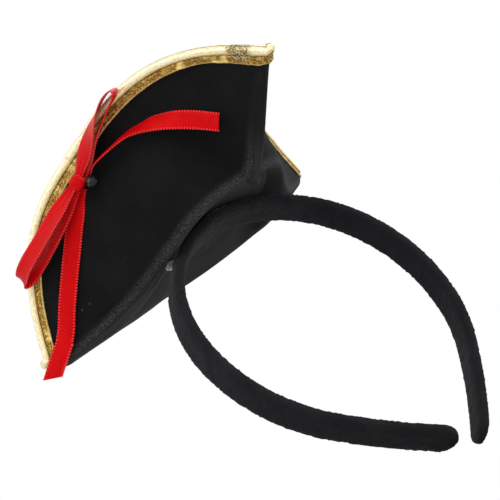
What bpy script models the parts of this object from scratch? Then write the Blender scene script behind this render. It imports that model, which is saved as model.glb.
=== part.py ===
# Mini tricorn pirate hat on a velvet-covered hair band.
# Worn frame: +Z up, the wearer faces -Y, and the origin is the head seat, under the middle of the band.
# The point of the hat faces forward. The bow hangs on the wearer's right front flap, at -X.
import math

import bpy
import numpy as np

mm = 0.001
clearance = 0.3 * mm            # air between two pieces that touch on the real hat

# hair band: three arcs on each side, measured along its middle line from the top
band_width = 13.0 * mm
band_thickness = 4.8 * mm       # with the velvet
arc_lengths = (82.6 * mm, 54.0 * mm, 45.7 * mm)
arc_radii = (58.4 * mm, 65.1 * mm, 250.0 * mm)
arm_skew = 10.8 * mm            # each arm's end stands this far in front of or behind the top
split_at = 72.0 * mm            # where the flexing arms start
core_width = 10.4 * mm
core_thickness = 2.0 * mm
end_radius = 6.5 * mm           # rounding of the arm's end, seen on its face

# hat: where it sits on the band, and how it leans
hat_forward = 6.2 * mm          # centre of the crown, ahead of the band
hat_lift = 3.9 * mm             # underside at the crown's centre, over the band's middle line
hat_yaw = math.radians(-3.9)
nose_down = 0.088               # slope of the hat towards the front
underside_sag = 0.0085 / mm     # the soft underside falls away from its centre by this times radius squared

# brim: three flaps folded up between three tips. A tip's values go front, left-hand back, right-hand back
low_tip_radius = (94.0 * mm, 81.0 * mm, 87.0 * mm)      # where two folds meet
low_tip_height = (2.0 * mm, 5.4 * mm, -1.5 * mm)
high_tip_radius = (98.2 * mm, 90.0 * mm, 92.5 * mm)     # where two upper edges meet
high_tip_height = (5.4 * mm, 12.8 * mm, 5.4 * mm)
nose_radius = 3.6 * mm          # blunt end of each tip
seam_radius = 25.0 * mm         # where the brim meets the crown
fold_distance = 34.0 * mm       # crown's centre to the middle of a fold
fold_drop = 7.5 * mm
fold_bend = 8.0 * mm            # how far from the fold's edge the felt starts to bend
keel_root = 34.0 * mm           # the front flaps close against each other from here to the tip
keel_depth = 12.3 * mm          # how deep the keel hangs at its root
keel_blend = 4.0 * mm           # softness of the corner where a fold leaves the keel
back_sag = 0.08                 # dip under each back tip, as a share of its length
# flaps: left-hand front, back, right-hand front
flap_top = (36.0 * mm, 46.0 * mm, 47.0 * mm)       # height of each flap's middle
flap_reach = (40.0 * mm, 52.0 * mm, 46.0 * mm)     # and its distance from the crown's centre
flap_power = (1.9, 2.4, 2.8)                       # higher keeps the upper edge full, then drops it at the tips
velvet = 0.4 * mm
stiffener = 0.6 * mm
columns = 15                    # points along a flap
nose_columns = 3

# gold binding over the brim's edge
binding_leg = 5.5 * mm
binding_wall = 0.4 * mm

# crown
crown_height = 34.0 * mm
crown_wall = 1.0 * mm
base_thickness = 0.8 * mm       # felt that closes the crown underneath
crown_sides = 28
seam_gap = 0.7 * mm             # crown and underside stay this far inside the brim's many-sided seam

# bow
ribbon_width = 7.0 * mm
ribbon_thickness = 0.4 * mm
knot_size = (8.5 * mm, 7.0 * mm, 4.2 * mm)
bead_radius = 2.6 * mm
knot_gap = 1.5 * mm             # under the knot, where the tails come out
bow_step = 1.0 * mm             # the bow's anchors count in this
knot_along = -8.5 * mm          # from the flap's middle, towards the back tip
knot_below_edge = 9.0 * mm

brim_stack = 2 * velvet + stiffener + 2 * clearance
arm_length = sum(arc_lengths)


def clear_scene():
    for obj in list(bpy.data.objects):
        bpy.data.objects.remove(obj, do_unlink=True)


def make_material(name, colour, roughness, metallic=0.0):
    material = bpy.data.materials.new(name)
    material.use_nodes = True
    shader = material.node_tree.nodes["Principled BSDF"]
    shader.inputs["Base Color"].default_value = (*colour, 1.0)
    shader.inputs["Roughness"].default_value = roughness
    shader.inputs["Metallic"].default_value = metallic
    material.diffuse_color = (*colour, 1.0)
    return material


def add_mesh(name, points, faces, material, parent=None):
    """A closed mesh in world space, placed under its parent without moving."""
    origin = np.array(parent.location) if parent else np.zeros(3)
    mesh = bpy.data.meshes.new(name)
    mesh.from_pydata([tuple(np.asarray(p) - origin) for p in points], [], faces)
    mesh.validate()
    mesh.shade_smooth()
    mesh.set_sharp_from_angle(angle=math.radians(40))
    mesh.materials.append(material)
    obj = bpy.data.objects.new(name, mesh)
    bpy.context.collection.objects.link(obj)
    obj.parent = parent
    return obj


def unit(vector):
    return vector / np.linalg.norm(vector)


def ring_faces(rows, count, start=0, closed_rows=False):
    """Quads between rings of count points each."""
    faces = []
    for row in range(rows if closed_rows else rows - 1):
        this = start + row * count
        above = start + (row + 1) % rows * count
        for i in range(count):
            j = (i + 1) % count
            faces.append((this + i, this + j, above + j, above + i))
    return faces


def solid_of_rings(rings):
    """Rings joined in order, with a flat cap on the first and the last."""
    count = len(rings[0])
    points = np.concatenate(rings)
    faces = ring_faces(len(rings), count)
    last = (len(rings) - 1) * count
    faces.append(tuple(reversed(range(count))))
    faces.append(tuple(last + i for i in range(count)))
    return outward(points, faces)


def outward(points, faces):
    """Turns every face round when the solid is inside out."""
    volume = 0.0
    for face in faces:
        a = points[face[0]]
        for i in range(1, len(face) - 1):
            volume += np.dot(a, np.cross(points[face[i]], points[face[i + 1]]))
    return points, [tuple(reversed(f)) for f in faces] if volume < 0 else faces


# ---- hair band


def band_place(s):
    """Middle point, outward normal and width direction at arc length s, negative towards -X."""
    side = math.copysign(1.0, s)
    left = abs(s)
    heading, x, z = 0.0, 0.0, 0.0
    for length, radius in zip(arc_lengths, arc_radii):
        step = min(left, length)
        turned = heading + step / radius
        x += radius * (math.sin(turned) - math.sin(heading))
        z -= radius * (math.cos(heading) - math.cos(turned))
        heading = turned
        left -= step
    point = np.array([side * x, arm_skew * s / arm_length, z + band_thickness / 2])
    normal = np.array([side * math.sin(heading), 0.0, math.cos(heading)])
    tangent = unit(np.array([math.cos(heading), arm_skew / arm_length, -side * math.sin(heading)]))
    return point, normal, unit(np.cross(normal, tangent))


def section(width, thickness, count):
    """A rounded oblong, as (across, out) pairs."""
    pairs = []
    for i in range(count):
        angle = math.tau * (i + 0.5) / count
        across = math.copysign(abs(math.cos(angle)) ** 0.55, math.cos(angle))
        out = math.copysign(abs(math.sin(angle)) ** 0.55, math.sin(angle))
        pairs.append((across * width / 2, out * thickness / 2))
    return pairs


def band_ring(s, width, thickness, count):
    point, normal, across = band_place(s)
    return np.array([point + across * a + normal * b for a, b in section(width, thickness, count)])


def end_taper(s, end):
    """Share of the full width left near the arm's rounded end."""
    past = max(0.0, abs(s) - (end - end_radius))
    return math.sqrt(max(0.0, 1 - (past / end_radius) ** 2))


def stations(start, end, step):
    count = max(2, round(abs(end - start) / step) + 1)
    return [float(s) for s in np.linspace(start, end, count)]


def arm_stations(side, start, end):
    straight = stations(start, end - end_radius, 9 * mm)
    rounded = [end - end_radius * (1 - share) for share in (0.45, 0.75, 0.92)]
    return [side * s for s in straight + rounded]


def arm_rings(side, start, end, width, thickness, count):
    rings = []
    for s in arm_stations(side, start, end):
        left = end_taper(s, end)
        rings.append(band_ring(s, width * left, thickness * (0.35 + 0.65 * left), count))
    return rings


def core_centre(material):
    reach = split_at - clearance / 2
    rings = [band_ring(s, core_width, core_thickness, 8) for s in stations(-reach, reach, 9 * mm)]
    return add_mesh("band_core_centre", *solid_of_rings(rings), material)


def core_arm(side, name, material, parent):
    start = split_at + clearance / 2
    end = arm_length - (band_width - core_width) / 2
    rings = arm_rings(side, start, end, core_width, core_thickness, 8)
    return add_mesh(name, *solid_of_rings(rings), material, parent)


def sleeve_centre(material):
    """A tube of velvet, open at both splits."""
    reach = split_at - clearance / 2
    places = stations(-reach, reach, 9 * mm)
    outer = [band_ring(s, band_width, band_thickness, 12) for s in places]
    hole = (core_width + 2 * clearance, core_thickness + 2 * clearance)
    inner = [band_ring(s, *hole, 12) for s in reversed(places)]
    rings = outer + inner
    points, faces = outward(np.concatenate(rings), ring_faces(len(rings), 12, closed_rows=True))
    return add_mesh("band_velvet_centre", points, faces, material)


def sleeve_arm(side, name, material, parent):
    """A sock of velvet, open at the split and closed over the arm's rounded end."""
    start = split_at + clearance / 2
    outer = arm_rings(side, start, arm_length, band_width, band_thickness, 12)
    hole_end = arm_length - (band_width - core_width) / 2 + clearance
    hole = (core_width + 2 * clearance, core_thickness + 2 * clearance)
    inner = arm_rings(side, start, hole_end, *hole, 12)
    rings = list(reversed(outer)) + inner
    return add_mesh(name, *solid_of_rings(rings), material, parent)


# ---- the hat's own frame


def hat_to_world(point):
    x, y, z = point
    turned = np.array([
        x * math.cos(hat_yaw) - y * math.sin(hat_yaw),
        x * math.sin(hat_yaw) + y * math.cos(hat_yaw),
    ])
    lifted = z + nose_down * turned[1]
    return np.array([turned[0], turned[1] - hat_forward, lifted + band_thickness / 2])


def underside(radius):
    return hat_lift - underside_sag * radius ** 2


def flap_axes(flap):
    """Outward and along directions of a flap in plan: 0 left-hand front, 1 back, 2 right-hand front."""
    angle = math.radians(-30 + 120 * flap)
    return np.array([math.cos(angle), math.sin(angle)]), np.array([-math.sin(angle), math.cos(angle)])


def tip_beyond(flap, along):
    """Which tip lies at the end of a flap's edge: 0 front, 1 left-hand back, 2 right-hand back."""
    return (flap + 1) % 3 if along > 0 else flap


def flap_end(tip_radius, depth):
    """Where a flap's edge meets the blunt nose, in the flap's own (out, along) pair."""
    keel = np.array([math.cos(math.radians(60)), math.sin(math.radians(60))])
    across = np.array([keel[1], -keel[0]])
    return keel * (tip_radius - nose_radius) + across * (nose_radius - depth)


def soft_max(a, b, softness):
    return (a + b + math.hypot(a - b, softness)) / 2


def folded_edge(share, tip, depth):
    """(out, along, height) on the half of a fold that ends at this tip; share runs from 0 to 1."""
    end = flap_end(low_tip_radius[tip], depth)
    middle = fold_distance - depth
    along = share * end[1]
    out = middle + (end[0] - middle) * share ** 3
    height = -fold_drop + (low_tip_height[tip] + fold_drop) * share ** 2.6
    if tip == 0:
        keel = (along + 2 * (nose_radius - depth)) / math.sqrt(3)
        round_base = middle * math.sqrt(max(0.0, 1 - (along / (keel_root - depth)) ** 2))
        out = soft_max(keel, round_base, keel_blend)
        root = keel_root * math.cos(math.radians(30)) / end[1]
        keel_line = low_tip_height[0] - (keel_depth + low_tip_height[0]) * (1 - share) / (1 - root)
        base_line = -fold_drop - (keel_depth - fold_drop) * (share / root) ** 2
        height = soft_max(keel_line, base_line, keel_blend / 2)
    return out, along, height + depth


def upper_edge(share, tip, flap, depth):
    """The same on the half of a flap's upper edge that ends at this tip."""
    end = flap_end(high_tip_radius[tip], depth)
    middle = flap_reach[flap] - depth
    drop = share ** flap_power[flap]
    height = flap_top[flap] + (high_tip_height[tip] - flap_top[flap]) * drop
    return middle + (end[0] - middle) * drop, share * end[1], height


def edge_curve(flap, along, low, depth=0.0):
    """(out, along, height) on a flap's folded edge or on its upper edge, with along from -1 to 1."""
    tip = tip_beyond(flap, along)
    share = abs(along)
    edge = folded_edge(share, tip, depth) if low else upper_edge(share, tip, flap, depth)
    return edge[0], math.copysign(edge[1], along), edge[2]


def edge_columns(low, depth):
    """All points of one edge, round the hat: each flap, then the nose after it."""
    points = []
    for flap in range(3):
        out_axis, along_axis = flap_axes(flap)
        for i in range(columns):
            out, run, height = edge_curve(flap, -1 + 2 * i / (columns - 1), low, depth)
            plan = out_axis * out + along_axis * run
            points.append((plan[0], plan[1], height))
        tip = tip_beyond(flap, 1)
        keel = math.radians(30 + 120 * flap)
        radius = (low_tip_radius if low else high_tip_radius)[tip] - nose_radius
        height = low_tip_height[tip] + depth if low else high_tip_height[tip]
        for i in range(nose_columns):
            angle = keel - math.pi / 2 + math.pi * (i + 1) / (nose_columns + 1)
            x = radius * math.cos(keel) + (nose_radius - depth) * math.cos(angle)
            y = radius * math.sin(keel) + (nose_radius - depth) * math.sin(angle)
            points.append((x, y, height))
    return np.array(points)


def brim_profile(low, high, on_keel, sagging, depth):
    """One line over the brim: out from the crown seam, round the fold and up the flap."""
    direction = unit(low[:2])
    seam = np.array([*(direction * seam_radius), underside(seam_radius) + depth])
    length = np.linalg.norm(low - seam)
    rise = high - low
    bend = min(fold_bend, 0.85 * length, 0.3 * np.linalg.norm(rise))
    if on_keel:
        # the underside runs down to the keel's root, then along the keel to the tip
        halfway = np.array([*(direction * keel_root), depth - keel_depth])
    else:
        halfway = (seam + low) / 2
        halfway[2] -= back_sag * length if sagging else 0.0
    before = low - unit(low - halfway) * min(bend, 0.7 * np.linalg.norm(low - halfway))
    after = low + unit(rise) * bend
    line = [seam, halfway]
    line += [(1 - t) ** 2 * before + 2 * t * (1 - t) * low + t * t * after for t in (0, 0.25, 0.5, 0.75, 1)]
    leg = min(binding_leg / np.linalg.norm(high - after), 0.8)
    line += [after + (high - after) * t for t in (0.5 * (1 - leg), 1 - leg, 1.0)]
    return line


def brim_grid(depth=0.0):
    """The brim's outer face, or the same face this deep in the felt: rows from the seam to the upper edge."""
    outer = edge_columns(True, 0.0)
    lines = []
    for face, low, high in zip(outer, edge_columns(True, depth), edge_columns(False, depth)):
        on_keel = -face[1] > keel_root + keel_blend and abs(face[0]) < 1.5 * nose_radius
        sagging = face[1] > 0 and np.linalg.norm(face[:2]) > seam_radius + 20 * mm
        lines.append([hat_to_world(p) for p in brim_profile(low, high, on_keel, sagging, depth)])
    return np.array(lines).transpose(1, 0, 2)


def layer_solid(near, far):
    """The sheet between two grids of the brim. Both faces split their quads the same way."""
    rows, count, _ = near.shape
    points = np.concatenate([near.reshape(-1, 3), far.reshape(-1, 3)])
    under = rows * count
    faces = []
    for row in range(rows - 1):
        for i in range(count):
            j = (i + 1) % count
            a, b, c, d = row * count + i, row * count + j, (row + 1) * count + j, (row + 1) * count + i
            faces += [(a, b, c), (a, c, d)]
            faces += [(under + c, under + b, under + a), (under + d, under + c, under + a)]
    for row in (0, rows - 1):
        for i in range(count):
            j = (i + 1) % count
            a, b = row * count + i, row * count + j
            faces.append((b, a, under + a, under + b) if row == 0 else (a, b, under + b, under + a))
    return outward(points, faces)


def brim_layers(materials):
    depth = 0.0
    for name, thick in (("brim_outer_velvet", velvet), ("brim_stiffener", stiffener), ("brim_lining", velvet)):
        add_mesh(name, *layer_solid(brim_grid(depth), brim_grid(depth + thick)), materials[name])
        depth += thick + clearance


def gold_binding(material):
    """A folded strip that wraps the brim's upper edge, with its corners over the brim's own."""
    near, far = clearance, clearance + binding_wall
    top = 2 * clearance         # the edge twists most here
    outer, outer_skin = brim_grid(-near), brim_grid(-far)
    inner, inner_skin = brim_grid(brim_stack + near), brim_grid(brim_stack + far)
    count = outer.shape[1]
    up = outer[-1] - outer[-2]
    up /= np.linalg.norm(up, axis=1)[:, None]
    rings = [
        outer_skin[-2], outer_skin[-1], outer[-1] + up * (top + binding_wall),
        inner[-1] + up * (top + binding_wall), inner_skin[-1], inner_skin[-2],
        inner[-2], inner[-1] + up * top,
        outer[-1] + up * top, outer[-2],
    ]
    towards_edge = (True, True, True, False, False, False, True, False, False, False)
    faces = []
    for k, rising in enumerate(towards_edge):
        this, following = k * count, (k + 1) % len(rings) * count
        for i in range(count):
            j = (i + 1) % count
            a, b, c, d = this + i, this + j, following + j, following + i
            faces += [(a, b, c), (a, c, d)] if rising else [(a, b, d), (b, c, d)]
    return add_mesh("gold_binding", *outward(np.concatenate(rings), faces), material)


# ---- crown and underside


def crown_ring(radius, height):
    ring = []
    for i in range(crown_sides):
        angle = math.tau * i / crown_sides
        ring.append(hat_to_world((radius * math.cos(angle), radius * math.sin(angle), height)))
    return np.array(ring)


def dome_shell(name, radius, top, wall, bottom, material):
    """A round-shouldered dome, open underneath."""
    outer, inner = [], []
    for share in (0.0, 0.45, 0.62, 0.78, 0.9, 0.97):
        if share < 0.5:
            drop, pull = share, 0.0
        else:
            drop = share
            pull = 1 - math.sqrt(max(0.0, 1 - ((share - 0.45) / 0.55) ** 2))
        outer.append(crown_ring(radius * (1 - pull), bottom + (top - bottom) * drop))
        inside = bottom + (top - bottom - wall) * drop
        inner.append(crown_ring((radius - wall) * (1 - pull), inside if share else bottom))
    rings = list(reversed(outer)) + inner
    return add_mesh(name, *solid_of_rings(rings), material)


def crown(materials):
    radius = seam_radius - seam_gap
    bottom = underside(radius - crown_wall) + base_thickness + clearance
    dome_shell("crown_velvet", radius, bottom + crown_height, crown_wall, bottom, materials["velvet"])
    inner_radius = radius - crown_wall - clearance
    inner_bottom = underside(inner_radius - crown_wall) + base_thickness + clearance
    inner_top = bottom + crown_height - crown_wall - clearance
    dome_shell("crown_former", inner_radius, inner_top, crown_wall, inner_bottom, materials["stiffener"])


def base_felt(material):
    """The soft disc that closes the crown underneath and is glued to the band."""
    radius = seam_radius - seam_gap
    rings = []
    for share, top in ((0.12, 1), (0.5, 1), (0.8, 1), (1.0, 1), (1.0, 0), (0.8, 0), (0.5, 0), (0.12, 0)):
        r = radius * share
        rings.append(crown_ring(r, underside(r) + top * base_thickness))
    return add_mesh("base_felt", *solid_of_rings(rings), material)


def surface_under(x, y):
    """World height of the felt's underside at a world x, y."""
    turned_x = x
    turned_y = y + hat_forward
    height = underside(math.hypot(turned_x, turned_y))
    return height + nose_down * turned_y + band_thickness / 2


def band_top(x):
    """World height of the band's outer face."""
    radius = arc_radii[0]
    return math.sqrt((radius + band_thickness / 2) ** 2 - x * x) - radius + band_thickness / 2


def glue_pad(material):
    """Set hot glue between the band and the felt."""
    long_half, wide_half, middle = 9.0 * mm, 4.5 * mm, 3.0 * mm
    count = 16
    upper, lower = [], []
    for share in (0.2, 0.65, 1.0):
        ring_high, ring_low = [], []
        for i in range(count):
            angle = math.tau * i / count
            x = middle + long_half * share * math.cos(angle)
            y = wide_half * share * math.sin(angle)
            ring_high.append((x, y, surface_under(x, y) - clearance))
            ring_low.append((x, y, band_top(x) + clearance))
        upper.append(np.array(ring_high))
        lower.append(np.array(ring_low))
    return add_mesh("glue_pad", *solid_of_rings(upper + list(reversed(lower))), material)


# ---- bow


def flap_place(flap, along, below, lift):
    """A point over a flap: along its chord, down from its upper edge, and off its outer face."""
    out_axis, along_axis = flap_axes(flap)
    half = flap_end(high_tip_radius[tip_beyond(flap, along)], 0.0)[1]
    share = max(-1, min(1, along / half))
    low = edge_curve(flap, share, True)
    high = edge_curve(flap, share, False)
    low3 = np.array([*(out_axis * low[0] + along_axis * low[1]), low[2]])
    high3 = np.array([*(out_axis * high[0] + along_axis * high[1]), high[2]])
    fall = unit(low3 - high3)
    off = unit(np.cross(np.array([*along_axis, 0.0]), fall))
    if np.dot(off[:2], out_axis) < 0:
        off = -off
    past_tip = np.array([*(along_axis * (along - share * half)), 0.0])
    return hat_to_world(high3 + past_tip + fall * below + off * lift)


def smooth_path(anchors, per_span):
    """Catmull-Rom points through the anchors."""
    p = [np.array(a) for a in anchors]
    p = [2 * p[0] - p[1]] + p + [2 * p[-1] - p[-2]]
    path = []
    for i in range(1, len(p) - 2):
        for j in range(per_span):
            t = j / per_span
            a = 2 * p[i]
            b = p[i + 1] - p[i - 1]
            c = 2 * p[i - 1] - 5 * p[i] + 4 * p[i + 1] - p[i + 2]
            d = -p[i - 1] + 3 * p[i] - 3 * p[i + 1] + p[i + 2]
            path.append(0.5 * (a + b * t + c * t * t + d * t ** 3))
    path.append(p[-2])
    return path


def ribbon(name, path, across, material):
    """A flat strip along the path; across gives its width direction at each point."""
    rings = []
    for i, point in enumerate(path):
        ahead = unit(path[min(i + 1, len(path) - 1)] - path[max(i - 1, 0)])
        wide = across[i] - ahead * np.dot(across[i], ahead)
        wide = unit(wide) * ribbon_width / 2
        thick = unit(np.cross(ahead, wide)) * ribbon_thickness / 2
        rings.append(np.array([point + wide + thick, point - wide + thick, point - wide - thick, point + wide - thick]))
    return add_mesh(name, *solid_of_rings(rings), material)


def bow_axes():
    """Centre of the knot and its directions: along the flap's edge, down the flap, off the flap."""
    lift = knot_gap + knot_size[2] / 2
    centre = flap_place(2, knot_along, knot_below_edge, lift)
    along = unit(flap_place(2, knot_along + mm, knot_below_edge, lift) - centre)
    off = unit(flap_place(2, knot_along, knot_below_edge, lift + mm) - centre)
    down = unit(np.cross(off, along))
    if down[2] > 0:
        down = -down
    return centre, along, down, off


def rounded_blob(name, centre, axes, size, material, around=12, rows=6, power=0.7):
    rings = []
    for row in range(1, rows):
        polar = math.pi * row / rows
        ring = []
        for i in range(around):
            turn = math.tau * i / around
            r = math.sin(polar) ** power
            x = math.copysign(abs(math.cos(turn)) ** power, math.cos(turn)) * r
            y = math.copysign(abs(math.sin(turn)) ** power, math.sin(turn)) * r
            z = math.copysign(abs(math.cos(polar)) ** power, math.cos(polar))
            ring.append(centre + axes[0] * x * size[0] / 2 + axes[1] * y * size[1] / 2 + axes[2] * z * size[2] / 2)
        rings.append(np.array(ring))
    return add_mesh(name, *solid_of_rings(rings), material)


def turned_across(down, off, rolls):
    """Width direction at each point: down the flap at roll 0, standing off it at 90 degrees."""
    across = []
    for roll in rolls:
        angle = math.radians(roll)
        across.append(down * math.cos(angle) + off * math.sin(angle))
    return across


def bow(materials):
    """The knot and its two loops. Anchors run along the edge, down the flap and off it, with a roll in degrees."""
    frame = bow_axes()
    centre, along, down, off = frame
    rounded_blob("bow_knot", centre, (along, down, off), knot_size, materials["ribbon"])
    side = (knot_size[0] / 2 + clearance) / bow_step
    front = [
        (side, -1.2, 1.2, 12), (11.5, -3.4, 2.2, 20), (20, -6, 2.8, 45), (28, -8, 3.0, 75),
        (35.5, -9, 3.0, 85), (39.6, -7.6, 3.0, 88), (38, -5.6, 3.0, 85), (30, -4.8, 2.6, 75),
        (20, -3.2, 1.4, 65), (11, -1.0, 0.0, 40), (side, 0.8, -1.0, 8),
    ]
    back = [
        (-side, -0.4, 0.9, 15), (-13, 0.4, 2.8, 12), (-26, 1.6, 4.4, 12), (-39, 2.2, 5.4, 15),
        (-46, 4.0, 4.2, 20), (-41, 5.6, 2.4, 12), (-28, 5.2, 1.2, 6), (-14, 3.2, 0.1, 4),
        (-side, 1.4, -0.6, 4),
    ]
    for name, anchors in (("bow_loop_front", front), ("bow_loop_back", back)):
        smooth = smooth_path(anchors, 3)
        path = [centre + (along * a + down * d + off * o) * bow_step for a, d, o, _ in smooth]
        across = turned_across(down, off, [anchor[3] for anchor in smooth])
        ribbon(name, path, across, materials["ribbon"])
    return frame


def tails(frame, materials):
    """The two free ends come out from under the knot. Anchors run along the edge, down the flap and off it."""
    off = frame[3]
    under = (knot_gap - clearance - ribbon_thickness / 2) / bow_step
    front = [
        (1, 0.5, under, 0), (6, 0.8, 1.2, 5), (11, 1.0, 2.6, 30), (19, 2.4, 3.9, 65), (26.5, 3.6, 4.0, 70),
        (32, 5.5, 3.6, 50), (38.8, 9.5, 3.2, 20), (46, 16, 3.0, 5), (53.3, 23.3, 3.6, 0),
    ]
    back = [
        (-2, 2.4, under, 0), (-8, 4.0, under, 0), (-15, 5.9, under, 0), (-26.5, 8.7, 1.0, 0),
        (-39, 8.8, 1.1, 0), (-52, 5.8, 1.8, 0), (-61, 0.7, 3.0, 0), (-69, -2.6, 4.0, 0), (-75, -4.4, 4.6, 0),
    ]
    for name, anchors in (("bow_tail_front", front), ("bow_tail_back", back)):
        smooth = smooth_path(anchors, 3)
        path = [
            flap_place(2, knot_along + a * bow_step, knot_below_edge + d * bow_step, lift * bow_step)
            for a, d, lift, _ in smooth
        ]
        across = []
        for i, anchor in enumerate(smooth):
            ahead = unit(path[min(i + 1, len(path) - 1)] - path[max(i - 1, 0)])
            flat = np.cross(ahead, off)
            across += turned_across(unit(flat), off, [anchor[3]])
        ribbon(name, path, across, materials["ribbon"])


def bead(frame, materials):
    """A cut bead beside the knot, on the front tail."""
    centre, along, down, off = frame
    beside = knot_size[1] / 2 + bead_radius + clearance
    above_tail = bead_radius - knot_size[2] / 2 + clearance
    place = centre + down * beside + along * 2.5 * mm + off * above_tail
    size = (2 * bead_radius,) * 3
    rounded_blob("bow_bead", place, (along, off, down), size, materials["bead"], 8, 6, 1.0)


def arm_pivot(side, name):
    """An empty on the axis that stands for the flexing of one arm: the band's outer face at the split."""
    point, normal, _ = band_place(side * split_at)
    pivot = bpy.data.objects.new(name, None)
    pivot.location = point + normal * (band_thickness / 2)
    bpy.context.collection.objects.link(pivot)
    return pivot


def main():
    clear_scene()
    velvet_black = make_material("black velvet", (0.012, 0.012, 0.014), 0.95)
    plastic = make_material("white plastic strip", (0.75, 0.74, 0.70), 0.5)
    board = make_material("stiff felt", (0.05, 0.05, 0.05), 0.9)
    gold = make_material("gold foil cloth", (0.83, 0.62, 0.27), 0.3, 0.9)
    red = make_material("red satin ribbon", (0.65, 0.01, 0.02), 0.4)
    glass = make_material("black cut bead", (0.01, 0.012, 0.012), 0.08)
    glue = make_material("clear glue", (0.8, 0.78, 0.7), 0.3)
    core_centre(plastic)
    sleeve_centre(velvet_black)
    for side, word in ((-1, "right"), (1, "left")):
        pivot = arm_pivot(side, "pivot_" + word)
        core_arm(side, "band_core_" + word, plastic, pivot)
        sleeve_arm(side, "band_velvet_" + word, velvet_black, pivot)
    brim_layers({"brim_outer_velvet": velvet_black, "brim_stiffener": board, "brim_lining": velvet_black})
    gold_binding(gold)
    crown({"velvet": velvet_black, "stiffener": board})
    base_felt(velvet_black)
    glue_pad(glue)
    frame = bow({"ribbon": red})
    tails(frame, {"ribbon": red})
    bead(frame, {"bead": glass})


main()
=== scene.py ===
import math

import bpy
import numpy as np
from mathutils import Matrix, Vector, noise


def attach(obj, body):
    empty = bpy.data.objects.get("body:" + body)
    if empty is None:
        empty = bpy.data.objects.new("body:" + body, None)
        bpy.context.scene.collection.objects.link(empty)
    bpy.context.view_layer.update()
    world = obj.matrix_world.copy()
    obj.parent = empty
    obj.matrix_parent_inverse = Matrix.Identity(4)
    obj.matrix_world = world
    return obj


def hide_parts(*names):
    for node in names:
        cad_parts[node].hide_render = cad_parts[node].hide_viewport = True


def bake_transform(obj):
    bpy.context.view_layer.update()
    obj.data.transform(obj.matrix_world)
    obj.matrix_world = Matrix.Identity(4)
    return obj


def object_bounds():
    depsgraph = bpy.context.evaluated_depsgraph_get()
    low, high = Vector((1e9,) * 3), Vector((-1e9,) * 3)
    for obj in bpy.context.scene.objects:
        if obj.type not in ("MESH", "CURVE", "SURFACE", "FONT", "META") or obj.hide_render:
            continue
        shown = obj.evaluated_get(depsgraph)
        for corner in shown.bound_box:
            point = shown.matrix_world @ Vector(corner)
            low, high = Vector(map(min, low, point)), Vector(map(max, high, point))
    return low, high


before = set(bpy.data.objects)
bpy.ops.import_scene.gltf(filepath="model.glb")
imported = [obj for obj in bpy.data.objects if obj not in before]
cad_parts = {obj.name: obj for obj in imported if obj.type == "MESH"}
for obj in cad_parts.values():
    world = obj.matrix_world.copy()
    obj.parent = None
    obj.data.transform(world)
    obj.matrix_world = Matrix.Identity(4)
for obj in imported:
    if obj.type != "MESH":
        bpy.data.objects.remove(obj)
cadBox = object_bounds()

mm = 0.001
scene = bpy.context.scene
scene.view_settings.view_transform = "Standard"

# camera, lamps and backdrop

view = {
    "place": (-0.53401, -0.60794, -0.30162),
    "forward": (0.62299, 0.70779, 0.33303),
    "up": (0.42873, -0.66507, 0.61145),
    "lens": 158.4,
    "sensor": 36.0,
}
lamps = {        # towards the camera, up and right in its picture, distance, size, watts
    "frontLamp": (0.75, 0.75, -0.25, 0.95, 0.55, 4.6),
    "leftLamp": (0.35, 0.2, -0.95, 1.0, 0.5, 2.0),
    "rightLamp": (0.45, 0.05, 0.95, 1.1, 0.6, 1.6),
    "backLamp": (-0.75, 0.8, 0.2, 1.0, 0.6, 2.6),
}
backdrop = {
    "floorColour": (0.86, 0.86, 0.85),
    "floorSize": 3.0,
    "floorGap": 0.3 * mm,
    "fade": (0.22, 0.75),        # metres from the hat in which the floor turns white
    "worldLight": 0.42,
}


def inMm(*values):
    return tuple(value * mm for value in values)


def unit(v):
    return v / np.linalg.norm(v)


def easeBetween(value, low, high):
    t = min(1.0, max(0.0, (value - low) / (high - low)))
    return t * t * (3 - 2 * t)


def addCamera():
    forward, up = Vector(view["forward"]).normalized(), Vector(view["up"]).normalized()
    right = forward.cross(up).normalized()
    up = right.cross(forward)
    data = bpy.data.cameras.new("photoCamera")
    data.lens, data.sensor_width = view["lens"], view["sensor"]
    data.clip_start, data.clip_end = 0.05, 20
    obj = bpy.data.objects.new("photoCamera", data)
    turn = Matrix((right, up, -forward)).transposed()
    obj.matrix_world = Matrix.Translation(view["place"]) @ turn.to_4x4()
    scene.collection.objects.link(obj)
    scene.camera = obj
    return forward, up, right


def addLamps(forward, up, right):
    middle = Vector((0, -0.01, -0.03))
    for name, (near, high, side, distance, size, watts) in lamps.items():
        data = bpy.data.lights.new(name, "AREA")
        data.size, data.energy = size, watts
        data.color = (1.0, 0.985, 0.96) if name == "frontLamp" else (1, 1, 1)
        obj = bpy.data.objects.new(name, data)
        direction = (-forward * near + up * high + right * side).normalized()
        obj.location = middle + direction * distance
        obj.rotation_mode = "QUATERNION"
        obj.rotation_quaternion = (-direction).to_track_quat("-Z", "Y")
        scene.collection.objects.link(obj)


def addNode(tree, kind, **values):
    node = tree.nodes.new("ShaderNode" + kind)
    for name, value in values.items():
        setattr(node, name, value)
    return node


def feed(tree, socket, value):
    if isinstance(value, bpy.types.NodeSocket):
        tree.links.new(value, socket)
    elif isinstance(value, tuple) and len(value) == 3 and socket.type == "RGBA":
        socket.default_value = (*value, 1.0)
    else:
        socket.default_value = value


def feedAll(tree, node, *values):
    for socket, value in zip(node.inputs, values):
        feed(tree, socket, value)
    return node.outputs


def feedNamed(tree, node, **values):
    for label, value in values.items():
        feed(tree, node.inputs[label.replace("_", " ")], value)
    return node


def calc(tree, operation, a, b=0.0):
    return feedAll(tree, addNode(tree, "Math", operation=operation), a, b)[0]


def times(tree, a, b):
    return calc(tree, "MULTIPLY", a, b)


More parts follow.
